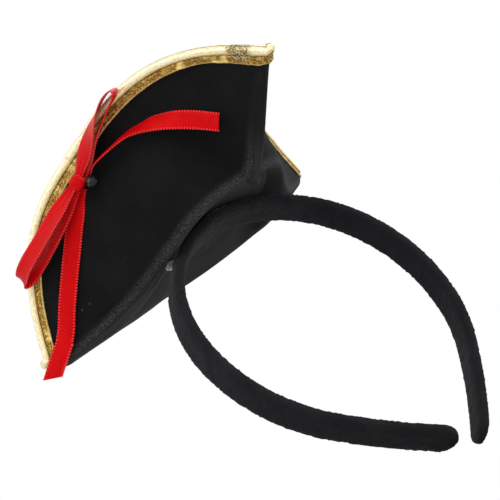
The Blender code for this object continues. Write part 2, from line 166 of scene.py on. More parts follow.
def awayFrom(tree, value, middle):
    return calc(tree, "ABSOLUTE", calc(tree, "SUBTRACT", value, middle))


def vectorCalc(tree, operation, vector, other, output):
    node = addNode(tree, "VectorMath", operation=operation)
    return feedAll(tree, node, vector, other)[output]


def partsOf(tree, vector):
    return feedAll(tree, addNode(tree, "SeparateXYZ"), vector)


def span(tree, value, low, high, start=0.0, end=1.0):
    node = addNode(tree, "MapRange", interpolation_type="SMOOTHSTEP")
    return feedAll(tree, node, value, low, high, start, end)[0]


def mixColour(tree, share, a, b):
    node = addNode(tree, "Mix", data_type="RGBA")
    feed(tree, node.inputs[0], share)
    feed(tree, node.inputs[6], a)
    feed(tree, node.inputs[7], b)
    return node.outputs[2]


def noiseOf(tree, vector, scale, detail=3.0, roughness=0.55):
    node = feedNamed(tree, addNode(tree, "TexNoise"), Vector=vector, Scale=scale,
                     Detail=detail, Roughness=roughness)
    return node.outputs["Fac"]


def placeOf(tree):
    return addNode(tree, "TexCoord").outputs["Object"]


def mixShaders(tree, share, first, second):
    node = addNode(tree, "MixShader")
    feed(tree, node.inputs[0], share)
    tree.links.new(first.outputs[0], node.inputs[1])
    tree.links.new(second.outputs[0], node.inputs[2])
    return node


def addBackdrop():
    world = bpy.data.worlds.new("studio")
    world.use_nodes = True
    scene.world = world
    tree = world.node_tree
    tree.nodes.clear()
    path = addNode(tree, "LightPath")
    seen = calc(tree, "MAXIMUM", path.outputs["Is Camera Ray"], path.outputs["Is Glossy Ray"])
    seen = calc(tree, "MAXIMUM", seen, path.outputs["Is Transmission Ray"])
    soft = addNode(tree, "Background")
    white = addNode(tree, "Background")
    feedNamed(tree, soft, Color=(1, 1, 1), Strength=backdrop["worldLight"])
    feedNamed(tree, white, Color=(1, 1, 1), Strength=1.0)
    mixed = mixShaders(tree, seen, soft, white)
    tree.links.new(mixed.outputs[0], addNode(tree, "OutputWorld").inputs[0])

    half, height = backdrop["floorSize"] / 2, cadBox[0][2] - backdrop["floorGap"]
    mesh = bpy.data.meshes.new("studioFloor")
    corners = [(-half, -half), (half, -half), (half, half), (-half, half)]
    mesh.from_pydata([(x, y, height) for x, y in corners], [], [(0, 1, 2, 3)])
    floor = bpy.data.objects.new("studioFloor", mesh)
    floor.visible_shadow = False
    scene.collection.objects.link(floor)
    material = bpy.data.materials.new("paleFloor")
    material.use_nodes = True
    tree = material.node_tree
    shader = tree.nodes["Principled BSDF"]
    feedNamed(tree, shader, Base_Color=backdrop["floorColour"], Roughness=0.9,
              Specular_IOR_Level=0.1)
    glow = feedNamed(tree, addNode(tree, "Emission"), Color=(1, 1, 1))
    far = vectorCalc(tree, "LENGTH", placeOf(tree), (0, 0, 0), "Value")
    fade = mixShaders(tree, span(tree, far, *backdrop["fade"]), shader, glow)
    behind = addNode(tree, "NewGeometry").outputs["Backfacing"]
    clear = addNode(tree, "BsdfTransparent")
    mixed = mixShaders(tree, behind, fade, clear)
    tree.links.new(mixed.outputs[0], tree.nodes["Material Output"].inputs[0])
    mesh.materials.append(material)


addLamps(*addCamera())
addBackdrop()
print("camera, lamps and floor are up")

# finishes


def newGroup(name, inputs, outputs):
    group = bpy.data.node_groups.new(name, "ShaderNodeTree")
    for label, kind, value in inputs:
        socket = group.interface.new_socket(label, in_out="INPUT",
                                            socket_type="NodeSocket" + kind)
        if value is not None:
            socket.default_value = value
    for label, kind in outputs:
        group.interface.new_socket(label, in_out="OUTPUT", socket_type="NodeSocket" + kind)
    return group, group.nodes.new("NodeGroupInput"), group.nodes.new("NodeGroupOutput")


def makeVelvetPile():        # short standing fibres, brushed patches and a little pale lint
    group, take, give = newGroup("velvetPile", [
        ("Vector", "Vector", None),
        ("Fibre Scale", "Float", 2600.0), ("Brush Scale", "Float", 70.0), ("Lint", "Float", 0.1),
        ("Dark", "Color", (0, 0, 0, 1)), ("Pale", "Color", (0.05, 0.05, 0.05, 1)),
    ], [("Color", "Color"), ("Height", "Float")])
    at = take.outputs["Vector"]
    fibre = noiseOf(group, at, take.outputs["Fibre Scale"], 2.0, 0.7)
    brushed = noiseOf(group, at, take.outputs["Brush Scale"], 3.0, 0.6)
    tone = calc(group, "ADD", times(group, span(group, fibre, 0.3, 0.72), 0.6),
                times(group, span(group, brushed, 0.35, 0.7), 0.4))
    colour = mixColour(group, tone, take.outputs["Dark"], take.outputs["Pale"])
    stretched = vectorCalc(group, "MULTIPLY", at, (1.0, 0.35, 0.7), "Vector")
    cells = feedNamed(group, addNode(group, "TexVoronoi"), Vector=stretched, Scale=260.0,
                      Randomness=1.0)
    speck = span(group, cells.outputs["Distance"], 0.05, 0.10, 1.0, 0.0)
    sparse = span(group, noiseOf(group, at, 130.0, 1.0), 0.55, 0.72)
    lint = times(group, times(group, speck, sparse), take.outputs["Lint"])
    colour = mixColour(group, lint, colour, (0.35, 0.34, 0.32))
    feedNamed(group, give, Color=colour, Height=fibre)
    return group


def makeThreadWeave():       # over and under threads, in millimetres along and across a strip
    group, take, give = newGroup("threadWeave", [
        ("Run", "Vector", None), ("Threads Along", "Float", 2.2), ("Threads Across", "Float", 3.4),
    ], [("Height", "Float"), ("Shade", "Float")])
    run = partsOf(group, take.outputs["Run"])
    waves = []
    for axis, label in ((0, "Threads Along"), (1, "Threads Across")):
        turns = times(group, times(group, run[axis], take.outputs[label]), math.pi)
        waves.append(calc(group, "SINE", turns))
    crossing = times(group, waves[0], waves[1])
    feedNamed(group, give, Height=calc(group, "ABSOLUTE", crossing),
              Shade=span(group, crossing, -0.6, 0.6))
    return group


def newMaterial(name, roughness, **constants):
    material = bpy.data.materials.new(name)
    material.use_nodes = True
    tree = material.node_tree
    shader = tree.nodes["Principled BSDF"]
    return material, tree, feedNamed(tree, shader, Roughness=roughness, **constants)


def runOf(tree):
    return addNode(tree, "UVMap", uv_map="run").outputs[0]


def bumpInto(tree, shader, height, distance, strength):
    bump = feedNamed(tree, addNode(tree, "Bump"), Height=height, Distance=distance,
                     Strength=strength)
    tree.links.new(bump.outputs[0], shader.inputs["Normal"])


def placeGroup(tree, group, **values):
    return feedNamed(tree, addNode(tree, "Group", node_tree=group), **values)


velvetPile = makeVelvetPile()
threadWeave = makeThreadWeave()

velvets = {        # dark, pale, fibre scale, brush scale, lint, sheen weight
    "bandVelvet": ((0.0065, 0.0068, 0.0082), (0.0180, 0.0188, 0.0220), 2300.0, 60.0, 0.10, 0.06),
    "hatVelvet": ((0.0026, 0.0026, 0.0032), (0.0098, 0.0098, 0.0112), 2600.0, 48.0, 0.12, 0.04),
    "liningVelvet": ((0.010, 0.010, 0.011), (0.024, 0.024, 0.026), 2400.0, 70.0, 0.08, 0.05),
    "baseFelt": ((0.016, 0.016, 0.017), (0.040, 0.040, 0.042), 1500.0, 90.0, 0.16, 0.05),
    "stiffFelt": ((0.030, 0.030, 0.031), (0.055, 0.055, 0.056), 1300.0, 120.0, 0.10, 0.0),
}


paintedFoldLight = {        # painted light on the hat's velvet: a painted highlight along the fold and painted light under the brim
    "foldHighlight": (0.085, 0.085, 0.088),
    "foldHighlightShare": 0.85,
    "foldHighlightMiddle": 0.5,              # millimetres up the flap from the fold
    "foldHighlightReach": (0.3, 4.2),
    "grain": 2300.0,
    # painted light colour for the underside just before the fold
    "under": (0.034, 0.034, 0.036),
    "underLightShare": 0.85,
    "underLightReach": (-4.0, -1.0),
    "front": (-0.070, -0.045),       # it ends towards the front tip, metres along y
    "leftSide": (0.014, 0.030),      # and on the side without a bow, metres along x
}


def paintFoldLight(tree, colour):
    fromFold = partsOf(tree, runOf(tree))[1]
    at = placeOf(tree)
    x, y, _ = partsOf(tree, at)
    notInFront = span(tree, y, *paintedFoldLight["front"], 0.1, 1.0)
    grain = span(tree, noiseOf(tree, at, paintedFoldLight["grain"], 4.0), 0.35, 0.70)
    # painted highlight: a pale strip along the fold, broken up by noise, fading towards the front
    # tip
    foldHighlight = awayFrom(tree, fromFold, paintedFoldLight["foldHighlightMiddle"])
    foldHighlight = times(tree, span(tree, foldHighlight, *paintedFoldLight["foldHighlightReach"], 1.0, 0.0), grain)
    foldHighlight = times(tree, times(tree, foldHighlight, notInFront), paintedFoldLight["foldHighlightShare"])
    # painted light on the underside just before the fold, on the side without a bow
    under = span(tree, fromFold, *paintedFoldLight["underLightReach"], 1.0, 0.0)
    under = times(tree, under, span(tree, x, *paintedFoldLight["leftSide"], 1.0, 0.0))
    under = times(tree, times(tree, under, notInFront), paintedFoldLight["underLightShare"])
    underLit = mixColour(tree, under, colour, paintedFoldLight["under"])
    return mixColour(tree, foldHighlight, underLit, paintedFoldLight["foldHighlight"])


def makeVelvet(name):
    dark, pale, fibre, brush, lint, sheen = velvets[name]
    material, tree, shader = newMaterial(name, 0.95, Specular_IOR_Level=0.10,
                                         Sheen_Weight=sheen, Sheen_Roughness=0.45)
    pile = placeGroup(tree, velvetPile, Vector=placeOf(tree), Fibre_Scale=fibre,
                      Brush_Scale=brush, Dark=dark, Pale=pale, Lint=lint)
    colour = pile.outputs["Color"]
    if name == "hatVelvet":
        colour = paintFoldLight(tree, colour)
    feedNamed(tree, shader, Base_Color=colour)
    bumpInto(tree, shader, pile.outputs["Height"], 0.25 * mm, 0.9)
    return material


foil = {
    "fold": (0.060, 0.024, 0.003),       # painted shade: dark bottoms of the small folds
    "face": (0.80, 0.47, 0.085),
    "patch": (0.92, 0.70, 0.24),
    "thread": (0.22, 0.13, 0.03),
    # painted light on the rolled edge: a pale painted highlight with gold streaks, and a painted
    # shade of gold on its flank
    "rollDark": (0.78, 0.58, 0.20),
    "rollHighlight": (0.98, 0.90, 0.66),
    "rollFlankShade": (0.74, 0.55, 0.20),
    # painted shade lines: in the crease on top of the roll and in the groove under it
    "crease": (0.22, 0.13, 0.035),
    "groove": (0.06, 0.035, 0.010),
    "crushedDark": (0.09, 0.065, 0.025),
    "crushedPale": (0.62, 0.50, 0.24),
}


def makeGoldCloth():
    material, tree, shader = newMaterial("goldFoilCloth", 0.3, Specular_IOR_Level=0.5)
    at, run = placeOf(tree), runOf(tree)
    across = partsOf(tree, run)[1]
    start = goldEdge["rollStart"]
    crinkle = noiseOf(tree, at, 620.0, 4.0, 0.62)
    broad = noiseOf(tree, at, 170.0, 3.0, 0.6)
    weave = placeGroup(tree, threadWeave, Run=run, Threads_Along=2.6, Threads_Across=2.6)
    stretched = vectorCalc(tree, "MULTIPLY", run, (0.45, 1.6, 1.0), "Vector")
    streak = noiseOf(tree, stretched, 1.3, 4.0, 0.65)
    # painted shade in the small folds, along the streaks
    gold = mixColour(tree, span(tree, awayFrom(tree, streak, 0.5), 0.01, 0.12),
                     foil["fold"], foil["face"])
    gold = mixColour(tree, span(tree, broad, 0.50, 0.72), gold, foil["patch"])
    gold = mixColour(tree, times(tree, weave.outputs["Shade"], 0.25), gold, foil["thread"])
    # painted highlight: the roll and the folded hem edge are painted pale, the roll's lower flank
    # a shaded gold
    rolled = span(tree, across, start + 0.1, start + 0.5)
    hem = span(tree, across, 0.9, 1.5, 0.8, 0.0)
    pale = calc(tree, "MAXIMUM", rolled, hem)
    pale = times(tree, pale, span(tree, streak, 0.25, 0.55, 0.82, 1.0))
    paintedRollLight = mixColour(tree, span(tree, streak, 0.36, 0.56), foil["rollDark"], foil["rollHighlight"])
    paintedRollLight = mixColour(tree, span(tree, across, start + 0.4, start + 1.5), foil["rollFlankShade"], paintedRollLight)
    colour = mixColour(tree, pale, gold, paintedRollLight)
    # painted shade: dark lines in the crease on top of the roll and in the groove under it
    crease = awayFrom(tree, across, goldEdge["crease"])
    colour = mixColour(tree, span(tree, crease, 0.15, 0.45, 0.8, 0.0), colour, foil["crease"])
    groove = awayFrom(tree, across, start)
    colour = mixColour(tree, span(tree, groove, 0.05, 0.35, 0.85, 0.0), colour, foil["groove"])
    apart = vectorCalc(tree, "DISTANCE", at, goldEdge["crushed"], "Value")
    crushed = span(tree, apart, 4 * mm, 6.5 * mm, 1.0, 0.0)
    speck = span(tree, noiseOf(tree, at, 1100.0, 4.0, 0.6), 0.42, 0.58)
    specks = mixColour(tree, speck, foil["crushedDark"], foil["crushedPale"])
    colour = mixColour(tree, crushed, colour, specks)
    feedNamed(tree, shader, Base_Color=colour, Metallic=span(tree, pale, 0.0, 1.0, 0.75, 0.5),
              Roughness=span(tree, crinkle, 0.3, 0.7, 0.24, 0.48))
    height = calc(tree, "ADD", crinkle, times(tree, weave.outputs["Height"], 0.15))
    height = times(tree, height, span(tree, rolled, 0.0, 1.0, 1.0, 0.25))
    bumpInto(tree, shader, height, 0.5 * mm, 0.75)
    return material


def makeSatin():
    material, tree, shader = newMaterial("redSatin", 0.42, Specular_IOR_Level=0.6,
                                         Specular_Tint=(1.0, 0.05, 0.04))
    run = runOf(tree)
    along, across, _ = partsOf(tree, run)
    weave = placeGroup(tree, threadWeave, Run=run, Threads_Along=1.5, Threads_Across=1.5)
    shade = weave.outputs["Shade"]
    half = ribbon["width"] / mm / 2
    rim = span(tree, calc(tree, "ABSOLUTE", across), half - 0.9, half - 0.5)
    dots = calc(tree, "SINE", times(tree, along, math.tau / ribbon["dotPitch"]))
    dots = times(tree, span(tree, dots, 0.0, 0.7), rim)
    colour = mixColour(tree, shade, (0.46, 0.0012, 0.002), (0.66, 0.004, 0.007))
    broad = span(tree, noiseOf(tree, placeOf(tree), 150.0, 2.0), 0.4, 0.7)
    colour = mixColour(tree, times(tree, broad, 0.35), colour, (0.42, 0.0, 0.003))
    colour = mixColour(tree, times(tree, dots, 0.55), colour, (0.92, 0.10, 0.10))
    feedNamed(tree, shader, Base_Color=colour, Roughness=span(tree, shade, 0, 1, 0.50, 0.36))
    height = calc(tree, "ADD", times(tree, weave.outputs["Height"], 0.5), dots)
    bumpInto(tree, shader, height, 0.12 * mm, 0.8)
    return material


def makeBeadGlass():
    material, tree, shader = newMaterial("blackBeadGlass", 0.08, Specular_IOR_Level=0.3)
    smudge = noiseOf(tree, placeOf(tree), 900.0, 2.0)
    colour = mixColour(tree, smudge, (0.002, 0.002, 0.003), (0.010, 0.012, 0.013))
    feedNamed(tree, shader, Base_Color=colour, Roughness=span(tree, smudge, 0.3, 0.8, 0.05, 0.22))
    return material


def makeGlue():
    material, tree, shader = newMaterial("clearGlue", 0.2, Specular_IOR_Level=0.5, IOR=1.48)
    cloud = noiseOf(tree, placeOf(tree), 500.0, 3.0)
    colour = mixColour(tree, cloud, (0.30, 0.29, 0.27), (0.62, 0.61, 0.56))
    feedNamed(tree, shader, Base_Color=colour, Roughness=span(tree, cloud, 0.2, 0.8, 0.12, 0.35))
    bumpInto(tree, shader, cloud, 0.3 * mm, 0.6)
    return material


def makePlastic():
    material, tree, shader = newMaterial("whitePlastic", 0.45, Specular_IOR_Level=0.5)
    grain = noiseOf(tree, placeOf(tree), 1400.0, 3.0)
    scuff = span(tree, noiseOf(tree, placeOf(tree), 240.0, 4.0), 0.4, 0.7)
    colour = mixColour(tree, scuff, (0.74, 0.73, 0.69), (0.58, 0.56, 0.5))
    feedNamed(tree, shader, Base_Color=colour, Roughness=span(tree, grain, 0.3, 0.7, 0.38, 0.55))
    bumpInto(tree, shader, grain, 0.05 * mm, 0.5)
    return material


# mesh helpers


def turnOutward(points, faces):
    volume = 0.0
    for face in faces:
        a = points[face[0]]
        for i in range(1, len(face) - 1):
            volume += np.dot(a, np.cross(points[face[i]], points[face[i + 1]]))
    return [tuple(reversed(f)) for f in faces] if volume < 0 else faces


def newPiece(name, points, faces, material, nodes=(), runs=None, sharp=None, flat=False):
    points = np.array(points)
    faces = turnOutward(points - points.mean(axis=0), faces)
    mesh = bpy.data.meshes.new(name)
    mesh.from_pydata([tuple(map(float, p)) for p in points], [], faces)
    if runs is not None:
        layer = mesh.uv_layers.new(name="run")
        corner = np.empty(len(mesh.loops), np.int32)
        mesh.loops.foreach_get("vertex_index", corner)
        layer.data.foreach_set("uv", np.asarray(runs, np.float32)[corner].ravel())
    mesh.validate()
    if not flat:
        mesh.shade_smooth()
    if sharp:
        mesh.set_sharp_from_angle(angle=math.radians(sharp))
    mesh.materials.append(material)
    obj = bpy.data.objects.new(name, mesh)
    scene.collection.objects.link(obj)
    if nodes:
        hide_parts(*nodes)
    return obj


def ringFaces(rows, count, closed=False):
    faces = []
    for row in range(rows if closed else rows - 1):
        this, after = row * count, (row + 1) % rows * count
        for i in range(count):
            j = (i + 1) % count
            faces.append((this + i, this + j, after + j, after + i))
    return faces


def endCaps(rows, count):
    last = (rows - 1) * count
    return [tuple(reversed(range(count))), tuple(range(last, last + count))]


def squarer(value, power):        # a cosine or sine that makes a rounder or squarer section
    return math.copysign(abs(value) ** power, value)


def unitRows(vectors):
    return vectors / np.linalg.norm(vectors, axis=1)[:, None]


def lengthsAlong(path):
    return np.concatenate([[0.0], np.cumsum(np.linalg.norm(np.diff(path, axis=0), axis=1))])


def smoothPath(anchors, perSpan):        # a curve through every anchor
    p = [np.array(a, float) for a in anchors]
    p = [2 * p[0] - p[1]] + p + [2 * p[-1] - p[-2]]
    path = []
    for i in range(1, len(p) - 2):
        for j in range(perSpan):
            t = j / perSpan
            b = p[i + 1] - p[i - 1]
            c = 2 * p[i - 1] - 5 * p[i] + 4 * p[i + 1] - p[i + 2]
            d = -p[i - 1] + 3 * p[i] - 3 * p[i + 1] + p[i + 2]
            path.append(0.5 * (2 * p[i] + b * t + c * t * t + d * t ** 3))
    path.append(p[-2])
    return path


def bumpAt(point, scale, seed=0.0):
    return noise.noise(Vector(point) * scale + Vector((seed, seed * 0.7, -seed)))


# hair band

band = {
    "width": 13 * mm,
    "thickness": 4.8 * mm,
    "arcs": (        # length and radius, from the middle to an arm's end
        inMm(82.6, 58.4), inMm(54, 65.1), inMm(45.7, 250),
    ),
    "skew": 10.8 * mm,               # how far an arm's end stands forward of the middle
    "endRadius": 6.5 * mm,
    "endThickness": 0.35,            # share of the thickness left at the very end
    "squareness": 0.6,
    "pile": 0.4 * mm,
    "bends": inMm(60, 84),     # where the sleeve would bend when an arm flexes; read but not used to bend it
    "around": 60,
    "rows": (210, 12),
}
armLength = sum(arc[0] for arc in band["arcs"])


def bandPlace(s):
    side = math.copysign(1.0, s)
    left, heading, x, z = abs(s), 0.0, 0.0, 0.0
    for length, radius in band["arcs"]:
        step = min(left, length)
        turned = heading + step / radius
        x += radius * (math.sin(turned) - math.sin(heading))
        z -= radius * (math.cos(heading) - math.cos(turned))
        heading = turned
        left -= step
    point = np.array([side * x, band["skew"] * s / armLength, z + band["thickness"] / 2])
    normal = np.array([side * math.sin(heading), 0.0, math.cos(heading)])
    slope = band["skew"] / armLength
    tangent = unit(np.array([math.cos(heading), slope, -side * math.sin(heading)]))
    return point, normal, unit(np.cross(normal, tangent))


def addSleeve(side, word, material, nodes):
    around, endStart = band["around"], armLength - band["endRadius"]
    straight = list(np.linspace(0, endStart, band["rows"][0]))
    turns = np.linspace(0.12, math.pi / 2 - 0.03, band["rows"][1])
    rounded = [armLength - band["endRadius"] * (1 - math.sin(t)) for t in turns]
    points, runs = [], []
    for s in straight + rounded:
        point, normal, across = bandPlace(side * max(s, 1e-9))
        past = max(0.0, s - endStart) / band["endRadius"]
        left = math.sqrt(max(0.0, 1 - past * past))
        thick = band["thickness"] * (band["endThickness"] + (1 - band["endThickness"]) * left)
        for i in range(around):
            angle = math.tau * i / around
            a = squarer(math.cos(angle), band["squareness"]) * band["width"] / 2 * left
            b = squarer(math.sin(angle), band["squareness"]) * thick / 2
            spot = point + across * a + normal * b
            outward = across * math.cos(angle) + normal * math.sin(angle)
            fuzz = 1.1 * bumpAt(spot, 1400.0) + 0.35 * bumpAt(spot, 260.0, 5.0)
            points.append(spot + outward * band["pile"] * fuzz * min(1.0, left + 0.2))
            runs.append((s / mm, a / mm))
    rows = len(straight) + len(rounded)
    faces = ringFaces(rows, around) + endCaps(rows, around)[1:]
    obj = newPiece("sleeve" + word, points, faces, material, nodes, runs)
    start, end = (bandPlace(side * s)[0] for s in band["bends"])
    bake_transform(obj)


# the hat's shape

hat = {
    "forward": 6.2 * mm,
    "lift": 3.9 * mm,
    "yaw": math.radians(-3.9),
    "noseDown": 0.088,
    "sag": 0.0085 / mm,            # the underside falls away by this times radius squared
    "lowRadius": inMm(91, 81, 84.5),       # tips: front, left back, right back
    "lowHeight": inMm(4.2, 5.4, -1.5),
    "highRadius": inMm(96.2, 90, 90),
    "highHeight": inMm(5, 12.8, 5.4),
    "nose": inMm(1.3, 2.2, 2.2),
    "seamRadius": 25 * mm,
    "foldDistance": inMm(29.5, 34, 34),
    "foldDrop": 7.5 * mm,
    "foldBend": 8 * mm,
    "keelRoot": 34 * mm,
    "keelDepth": 11.3 * mm,
    "keelArch": 1.6 * mm,
    "keelShift": 2.4 * mm,         # how far the keel leans towards the bow's side
    "keelBlend": 4 * mm,
    "backSag": 0.08,
    "flapTop": inMm(36, 46, 47),         # flaps: left front, back, right front
    "flapReach": inMm(45, 52, 46),
    "flapPower": ((1.9, 3.0), (2.4, 2.4), (2.8, 3.15)),   # towards a flap's first and second tip
    "velvet": 0.35 * mm,
    "board": 0.4 * mm,
    "gap": 0.05 * mm,
    "wave": 0.5 * mm,
    "ripple": 0.16 * mm,
    "columns": 60,
    "noseColumns": 9,
    "columnRun": 1.5,              # millimetres of cloth from one column to the next
    "rows": (14, 10, 28),          # under the brim, round the fold, up the flap
}
brimStack = 2 * hat["velvet"] + hat["board"] + 2 * hat["gap"]


def hatToWorld(point, leaning=True):
    x, y, z = point
    if leaning:
        x -= hat["keelShift"] * easeBetween(-y, 24 * mm, 40 * mm)
    turnedX = x * math.cos(hat["yaw"]) - y * math.sin(hat["yaw"])
    turnedY = x * math.sin(hat["yaw"]) + y * math.cos(hat["yaw"])
    lifted = z + hat["noseDown"] * turnedY + band["thickness"] / 2
    return np.array([turnedX, turnedY - hat["forward"], lifted])


def underside(radius):
    return hat["lift"] - hat["sag"] * radius ** 2


def flapAxes(flap):
    angle = math.radians(-30 + 120 * flap)
    out = np.array([math.cos(angle), math.sin(angle)])
    return out, np.array([-out[1], out[0]])


def tipBeyond(flap, along):
    return (flap + 1) % 3 if along > 0 else flap


def flapEnd(tipRadius, nose, depth):
    keel = np.array([math.cos(math.radians(60)), math.sin(math.radians(60))])
    across = np.array([keel[1], -keel[0]])
    return keel * (tipRadius - nose) + across * (nose - depth)


def softMax(a, b, softness):
    return (a + b + math.hypot(a - b, softness)) / 2


def foldedEdge(share, tip, flap, depth, nose):
    end = flapEnd(hat["lowRadius"][tip], nose, depth)
    middle = hat["foldDistance"][flap] - depth
    along = share * end[1]
    out = middle + (end[0] - middle) * share ** 3
    tipHeight = hat["lowHeight"][tip]
    height = -hat["foldDrop"] + (tipHeight + hat["foldDrop"]) * share ** 2.6
    if tip == 0:        # the two front flaps close against each other in a keel
        keel = (along + 2 * (nose - depth)) / math.sqrt(3)
        roundBase = middle * math.sqrt(max(0.0, 1 - (along / (hat["keelRoot"] - depth)) ** 2))
        out = softMax(keel, roundBase, hat["keelBlend"])
        root = hat["keelRoot"] * math.cos(math.radians(30)) / end[1]
        keelLine = tipHeight - (hat["keelDepth"] + tipHeight) * (1 - share) / (1 - root)
        baseLine = -hat["foldDrop"] - (hat["keelDepth"] - hat["foldDrop"]) * (share / root) ** 2
        keelLine += hat["keelArch"] * math.sin(math.pi * max(0.0, (share - root) / (1 - root)))
        height = softMax(keelLine, baseLine, hat["keelBlend"] / 2)
    return out, along, height + depth


def upperEdge(share, tip, flap, depth, nose):
    end = flapEnd(hat["highRadius"][tip], nose, depth)
    middle = hat["flapReach"][flap] - depth
    drop = share ** hat["flapPower"][flap][0 if tip == flap else 1]
    height = hat["flapTop"][flap] + (hat["highHeight"][tip] - hat["flapTop"][flap]) * drop
    return middle + (end[0] - middle) * drop, share * end[1], height


def edgePoint(flap, along, low, depth=0.0, noses=None):
    tip = tipBeyond(flap, along)
    nose = (noses or hat["nose"])[tip]
    if low:
        edge = foldedEdge(abs(along), tip, flap, depth, nose)
    else:
        edge = upperEdge(abs(along), tip, flap, depth, nose)
    outAxis, alongAxis = flapAxes(flap)
    plan = outAxis * edge[0] + alongAxis * math.copysign(edge[1], along)
    return np.array([plan[0], plan[1], edge[2]])


def edgeColumns(low, depth):
    points = []
    count, noseCount = hat["columns"], hat["noseColumns"]
    for flap in range(3):
        for i in range(count):
            points.append(edgePoint(flap, -1 + 2 * i / (count - 1), low, depth))
        tip = tipBeyond(flap, 1)
        nose = hat["nose"][tip]
        keel = math.radians(30 + 120 * flap)
        radius = (hat["lowRadius"] if low else hat["highRadius"])[tip] - nose
        height = hat["lowHeight"][tip] + depth if low else hat["highHeight"][tip]
        for i in range(noseCount):
            angle = keel - math.pi / 2 + math.pi * (i + 1) / (noseCount + 1)
            x = radius * math.cos(keel) + (nose - depth) * math.cos(angle)
            y = radius * math.sin(keel) + (nose - depth) * math.sin(angle)
            points.append(np.array([x, y, height]))
    return points


def brimLine(low, high, keelShare, sagShare, depth):
    direction = unit(low[:2])
    seam = np.array([*(direction * hat["seamRadius"]), underside(hat["seamRadius"]) + depth])
    length = np.linalg.norm(low - seam)
    rise = high - low
    bend = min(hat["foldBend"], 0.85 * length, 0.3 * np.linalg.norm(rise))
    root = np.array([*(direction * hat["keelRoot"]), depth - hat["keelDepth"]])
    halfway = (seam + low) / 2
    halfway[2] -= hat["backSag"] * length * sagShare
    halfway = halfway + (root - halfway) * keelShare
    reach = np.linalg.norm(low - halfway)
    before = low - (low - halfway) / reach * min(bend, 0.7 * reach)
    after = low + unit(rise) * bend
    underRows, foldRows, flapRows = hat["rows"]
    line = smoothPath([seam, halfway, before], underRows // 2)[:-1]
    for i in range(foldRows):
        t = i / foldRows
        line.append((1 - t) ** 2 * before + 2 * t * (1 - t) * low + t * t * after)
    for i in range(flapRows):
        line.append(after + (high - after) * i / (flapRows - 1))
    return np.array(line)


def brimGrid(depth=0.0):
    lines = []
    root, seam = hat["keelRoot"], hat["seamRadius"]
    columns = zip(edgeColumns(True, 0.0), edgeColumns(True, depth), edgeColumns(False, depth))
    for face, low, high in columns:
        ahead = easeBetween(-face[1], root - 1 * mm, root + 9 * mm)
        narrow = 1 - easeBetween(abs(face[0]), 4 * mm, 9 * mm)
        far = easeBetween(np.linalg.norm(face[:2]), seam + 14 * mm, seam + 28 * mm)
        sag = easeBetween(face[1], 0, 8 * mm) * far
        lines.append([hatToWorld(p) for p in brimLine(low, high, ahead * narrow, sag, depth)])
    return np.array(lines).transpose(1, 0, 2)


def gridNormals(grid):
    alongRows = np.gradient(grid, axis=0)
    alongColumns = (np.roll(grid, -1, axis=1) - np.roll(grid, 1, axis=1)) / 2
    normals = np.cross(alongColumns, alongRows)
    return normals / np.maximum(np.linalg.norm(normals, axis=2), 1e-12)[..., None]


def softShift(grid):        # the same push for every layer, so that none crosses another
    normals = gridNormals(grid)
    shift = np.zeros_like(grid)
    for row in range(grid.shape[0]):
        free = easeBetween(row, 2, sum(hat["rows"][:2]))
        for i in range(grid.shape[1]):
            spot = grid[row, i]
            wave, ripple = bumpAt(spot, 34.0, 2.0), bumpAt(spot, 130.0, 9.0)
            push = hat["wave"] * wave + hat["ripple"] * ripple
            shift[row, i] = normals[row, i] * push * free
    return shift


def brimRuns(grid):        # millimetres along the hat and from the middle of the fold
    steps = np.linalg.norm(np.diff(grid, axis=0), axis=2)
    lengths = np.concatenate([np.zeros((1, grid.shape[1])), np.cumsum(steps, axis=0)])
    foldRow = hat["rows"][0] + hat["rows"][1] // 2
    fromFold = (lengths - lengths[foldRow]) / mm
    along = np.tile(np.arange(grid.shape[1]) * hat["columnRun"], (grid.shape[0], 1))
    return np.stack([along, fromFold], axis=2).reshape(-1, 2)


def addBrimLayer(name, near, far, material, slot, node):
    rows, count = near.shape[:2]
    points = np.concatenate([near.reshape(-1, 3), far.reshape(-1, 3)])
    under = rows * count
    faces = []
    for a, b, c, d in ringFaces(rows, count):
        faces += [(a, b, c, d), (under + d, under + c, under + b, under + a)]
    for i in range(count):
        j = (i + 1) % count
        faces.append((j, i, under + i, under + j))
        a, b = (rows - 1) * count + i, (rows - 1) * count + j
        faces.append((a, b, under + b, under + a))
    runs = np.concatenate([brimRuns(near), brimRuns(near)])
    obj = newPiece(name, points, faces, material, (node,), runs, 60)
    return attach(obj, "root")


# gold edge

goldEdge = {        # lengths in millimetres, except "crushed"
    "leg": 5.6,            # down the outer face
    "innerLeg": 5.0,       # and down the inner one
    "hem": ((0, 0.10), (-0.10, 0.45), (0.15, 0.80), (0.6, 0.86), (1.1, 0.66)),
    "face": (        # up from the brim's edge, off its outer face
        (-4.0, 0.60), (-3.4, 0.64), (-2.8, 0.60), (-2.45, 0.40), (-2.2, 0.55), (-1.9, 0.85),
        (-1.5, 1.05), (-1.1, 1.16), (-0.7, 1.22), (-0.3, 1.22),
    ),
    "roll": (1.35, 1.15),
    "rollPoints": 13,
    "rollStart": 4.25,     # from the hem to the groove under the roll, along the foil
    "crease": 9.0,         # from the hem to the crease along the top of the roll, where a painted shade line runs
    "crinkle": (1.2, 0.35, 0.22),      # on the face, on the roll, height
    "lapFlap": 2,
    "lapAlong": 0.04,      # where one end of the strip lies over the other, from the flap's middle
    "lapColumns": 3,
    "lapHeight": 0.5,
    "wideTip": 0.15,       # the strip is gathered wider over the front tip
    "crushed": inMm(-12.5, -95.2, 9.3),      # the strip is crushed here
    "turn": 6,             # columns on each side over which it turns at a tip
    "fine": 4,             # stations between two columns
}


